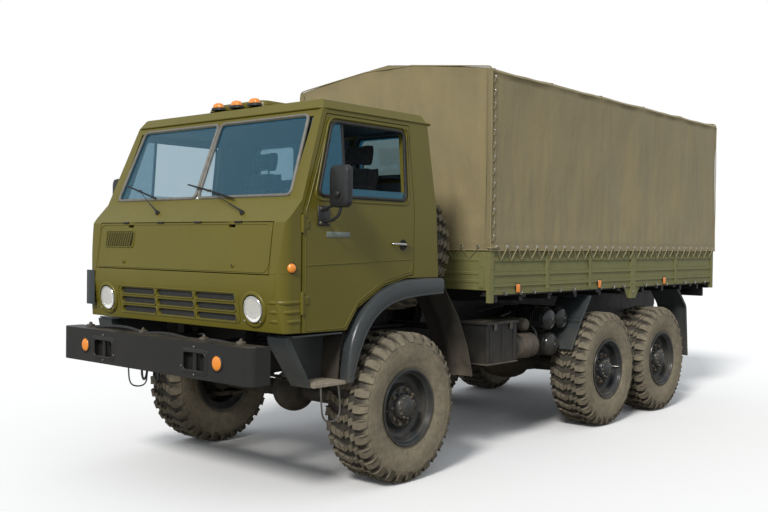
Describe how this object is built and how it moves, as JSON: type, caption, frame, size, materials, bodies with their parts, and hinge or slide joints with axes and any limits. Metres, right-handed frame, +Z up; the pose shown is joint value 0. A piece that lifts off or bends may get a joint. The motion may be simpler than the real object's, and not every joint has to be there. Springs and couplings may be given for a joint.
{
  "type": "military cargo truck",
  "caption": "Three-axle military cargo truck with a cab over the engine, hinged doors, steered front wheels and a covered load bed.",
  "frame": {"origin": "on the ground under the middle of the overall box", "axes": "+X forward, +Y to the vehicle's left, +Z up"},
  "size_m": [8.0742, 2.9858, 3.685],
  "materials": {
    "cab_paint": "semi-gloss olive green",
    "bed_paint": "satin olive green",
    "black_steel": "satin black, dusty",
    "cast_metal": "rough",
    "tyre_rubber": "dusty",
    "glass": "clear, slightly tinted",
    "interior_plastic": "matte",
    "seat_cloth": "matte",
    "lamp_glass": "clear",
    "canvas": "matte",
    "black_plastic": "matte"
  },
  "bodies": {
    "chassis": {"chassis_frame": "black_steel", "front_bumper": "black_steel", "engine_block": "cast_metal", "gearbox": "cast_metal", "prop_shafts": "black_steel", "front_springs": "black_steel", "rear_springs": "black_steel", "front_axle": "black_steel", "middle_axle": "black_steel", "rear_axle": "black_steel", "fender_left": "black_steel", "fender_right": "black_steel", "mudguards_left": "black_steel", "mudguards_right": "black_steel", "battery_box": "black_steel", "fuel_tank": "black_steel", "air_tanks": "black_steel", "spare_wheel": "tyre_rubber", "cab_shell": "cab_paint", "cab_roof": "cab_paint", "front_panel": "cab_paint", "windscreen": "glass", "dashboard": "interior_plastic", "seats": "seat_cloth", "steering_wheel": "interior_plastic", "headlamps": "lamp_glass", "platform": "bed_paint", "front_board": "bed_paint", "side_board_left": "bed_paint", "side_board_right": "bed_paint", "tilt_bows": "bed_paint", "tilt": "canvas", "pintle_hook": "black_steel"},
    "left_door": {"door_left": "cab_paint", "mirror_left": "black_plastic"},
    "right_door": {"door_right": "cab_paint", "mirror_right": "black_plastic"},
    "front_lid": {"hood_panel": "cab_paint"},
    "rear_gate": {"tailgate": "bed_paint"},
    "left_knuckle": {"knuckle_left": "black_steel"},
    "right_knuckle": {"knuckle_right": "black_steel"},
    "wheel_fl": {"wheel_front_left": "tyre_rubber"},
    "wheel_fr": {"wheel_front_right": "tyre_rubber"},
    "wheel_ml": {"wheel_middle_left": "tyre_rubber"},
    "wheel_mr": {"wheel_middle_right": "tyre_rubber"},
    "wheel_rl": {"wheel_rear_left": "tyre_rubber"},
    "wheel_rr": {"wheel_rear_right": "tyre_rubber"}
  },
  "joints": [
    {"name": "left_door_hinge", "type": "hinge", "parent": "chassis", "child": "left_door", "pos_m": [3.57015, 1.244, 1.7], "axis": [0, 0, -1], "range_deg": [0, 70]},
    {"name": "right_door_hinge", "type": "hinge", "parent": "chassis", "child": "right_door", "pos_m": [3.57015, -1.244, 1.7], "axis": [0, 0, 1], "range_deg": [0, 70]},
    {"name": "front_lid_hinge", "type": "hinge", "parent": "chassis", "child": "front_lid", "pos_m": [3.72115, 0, 2.06], "axis": [0, -1, 0], "range_deg": [0, 85]},
    {"name": "tailgate_hinge", "type": "hinge", "parent": "chassis", "child": "rear_gate", "pos_m": [-3.94085, 0, 1.512], "axis": [0, -1, 0], "range_deg": [0, 170]},
    {"name": "left_steering", "type": "hinge", "parent": "chassis", "child": "left_knuckle", "pos_m": [2.45715, 1, 0.605], "axis": [0, 0, 1], "range_deg": [-30, 30]},
    {"name": "right_steering", "type": "hinge", "parent": "chassis", "child": "right_knuckle", "pos_m": [2.45715, -1, 0.605], "axis": [0, 0, 1], "range_deg": [-30, 30]},
    {"name": "front_left_wheel", "type": "hinge", "parent": "left_knuckle", "child": "wheel_fl", "pos_m": [2.45715, 1.15, 0.605], "axis": [0, 1, 0], "continuous": true},
    {"name": "front_right_wheel", "type": "hinge", "parent": "right_knuckle", "child": "wheel_fr", "pos_m": [2.45715, -1.15, 0.605], "axis": [0, 1, 0], "continuous": true},
    {"name": "middle_left_wheel", "type": "hinge", "parent": "chassis", "child": "wheel_ml", "pos_m": [-0.88285, 1.15, 0.605], "axis": [0, 1, 0], "continuous": true},
    {"name": "middle_right_wheel", "type": "hinge", "parent": "chassis", "child": "wheel_mr", "pos_m": [-0.88285, -1.15, 0.605], "axis": [0, 1, 0], "continuous": true},
    {"name": "rear_left_wheel", "type": "hinge", "parent": "chassis", "child": "wheel_rl", "pos_m": [-2.20285, 1.15, 0.605], "axis": [0, 1, 0], "continuous": true},
    {"name": "rear_right_wheel", "type": "hinge", "parent": "chassis", "child": "wheel_rr", "pos_m": [-2.20285, -1.15, 0.605], "axis": [0, 1, 0], "continuous": true}
  ],
  "couplings": [
    {"joint": "right_steering", "follows": "left_steering", "ratio": 1}
  ]
}
